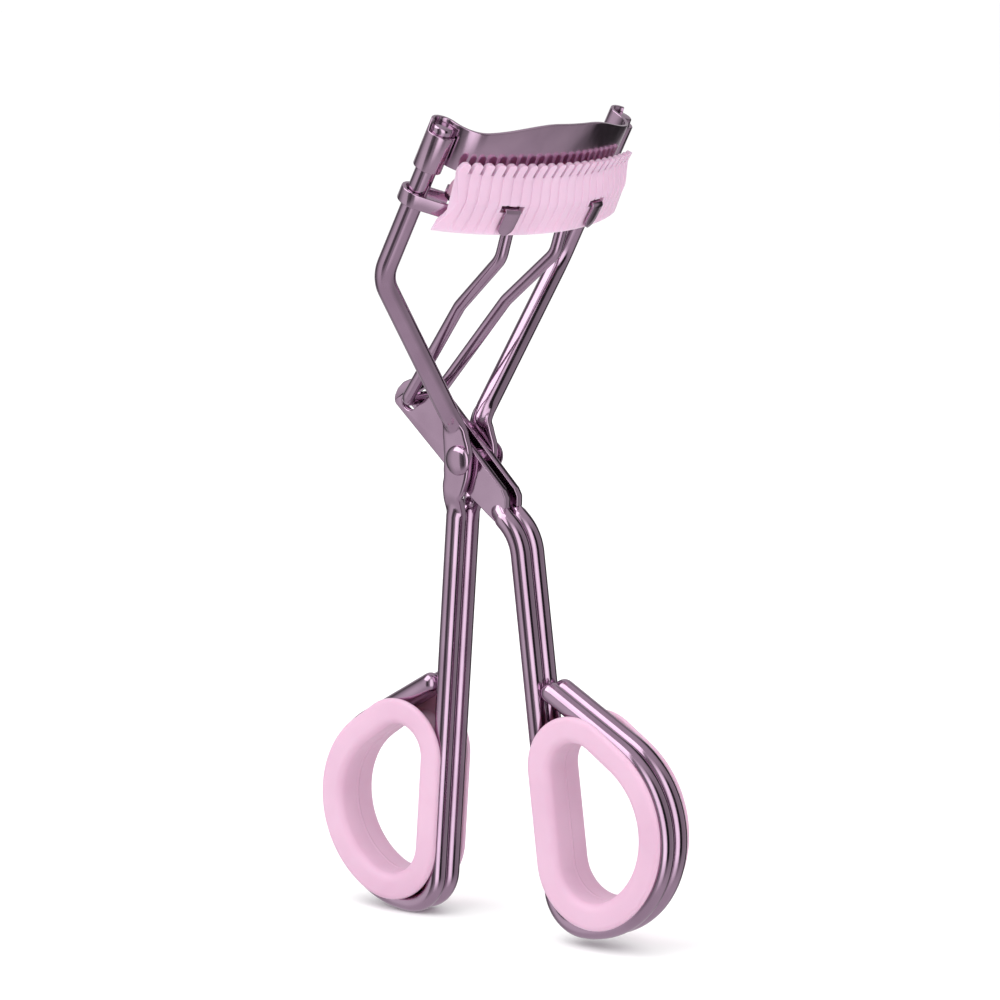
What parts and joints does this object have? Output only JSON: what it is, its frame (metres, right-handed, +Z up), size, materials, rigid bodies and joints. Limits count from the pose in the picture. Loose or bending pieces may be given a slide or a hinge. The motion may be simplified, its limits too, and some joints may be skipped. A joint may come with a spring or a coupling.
{
  "type": "eyelash curler",
  "caption": "Scissor-handled wire eyelash curler: a lever on a rivet slides a curved lower jaw with a soft pad and comb guard up to a fixed upper jaw.",
  "frame": {"origin": "middle of the outline in X and Y, at the height of the lowest point of the finger loops", "axes": "+Z up from the finger loops to the jaws, +X from the frame's finger loop to the lever's, +Y across the jaws, away from the near rod"},
  "size_m": [0.0552, 0.0388, 0.1022],
  "materials": {
    "plated_metal": "bright mauve plating on steel",
    "soft_pad": "soft, slightly clear pink",
    "clear_pink_plastic": "satin pale pink",
    "soft_grip": "satin pale pink"
  },
  "bodies": {
    "frame": {"upper_jaw_plate": "plated_metal", "near_frame_wire": "plated_metal", "far_frame_wire": "plated_metal", "frame_weld": "plated_metal", "pivot_rivet": "plated_metal", "frame_ring_grip": "soft_grip"},
    "lever": {"near_lever_wire": "plated_metal", "far_lever_wire": "plated_metal", "lever_ring_grip": "soft_grip"},
    "lower_jaw": {"push_wire": "plated_metal", "lower_jaw_channel": "plated_metal", "near_jaw_guide": "plated_metal", "far_jaw_guide": "plated_metal", "lash_pad": "soft_pad", "comb_guard": "clear_pink_plastic", "near_comb_clip": "plated_metal", "far_comb_clip": "plated_metal"}
  },
  "joints": [
    {"name": "lever_pivot", "type": "hinge", "parent": "frame", "child": "lever", "pos_m": [-0.0033, 0, 0.0592], "axis": [0, 1, 0], "range_deg": [-28, 3.5]},
    {"name": "jaw_slide", "type": "slide", "parent": "frame", "child": "lower_jaw", "axis": [0.4818, 0, 0.8763], "range_m": [-0.0053, 0.0007]}
  ],
  "couplings": [
    {"joint": "jaw_slide", "follows": "lever_pivot", "m_per_rad": 0.01078}
  ]
}
